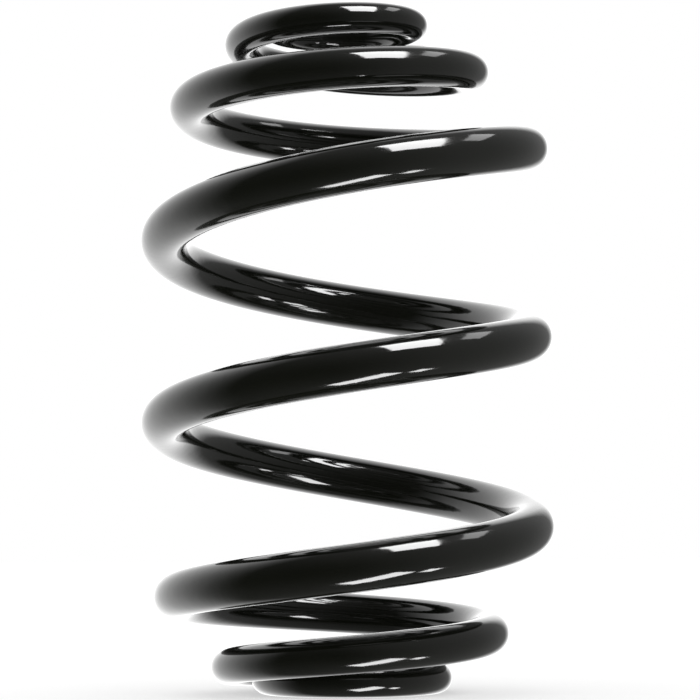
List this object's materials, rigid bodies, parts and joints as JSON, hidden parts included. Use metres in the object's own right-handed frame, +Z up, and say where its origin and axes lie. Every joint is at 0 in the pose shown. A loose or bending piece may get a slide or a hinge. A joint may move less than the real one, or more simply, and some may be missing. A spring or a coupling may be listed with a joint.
{
  "type": "barrel coil suspension spring",
  "caption": "Black painted barrel-shaped coil spring, right-hand wound from wire that thins towards small flat seat coils at both ends.",
  "frame": {"origin": "centre of the bounding box's bottom face: on the axis of the body turns, level with the underside of the bottom seat coil", "axes": "+Z up along the coil's axis from the bottom seat coil to the top one, -Y towards the viewer of the picture, +X to the viewer's right"},
  "size_m": [0.128, 0.1279, 0.2117],
  "materials": {
    "black_paint": "glossy black paint with fine orange peel over spring steel"
  },
  "bodies": {
    "root": {"coil_spring": "black_paint"}
  },
  "joints": []
}
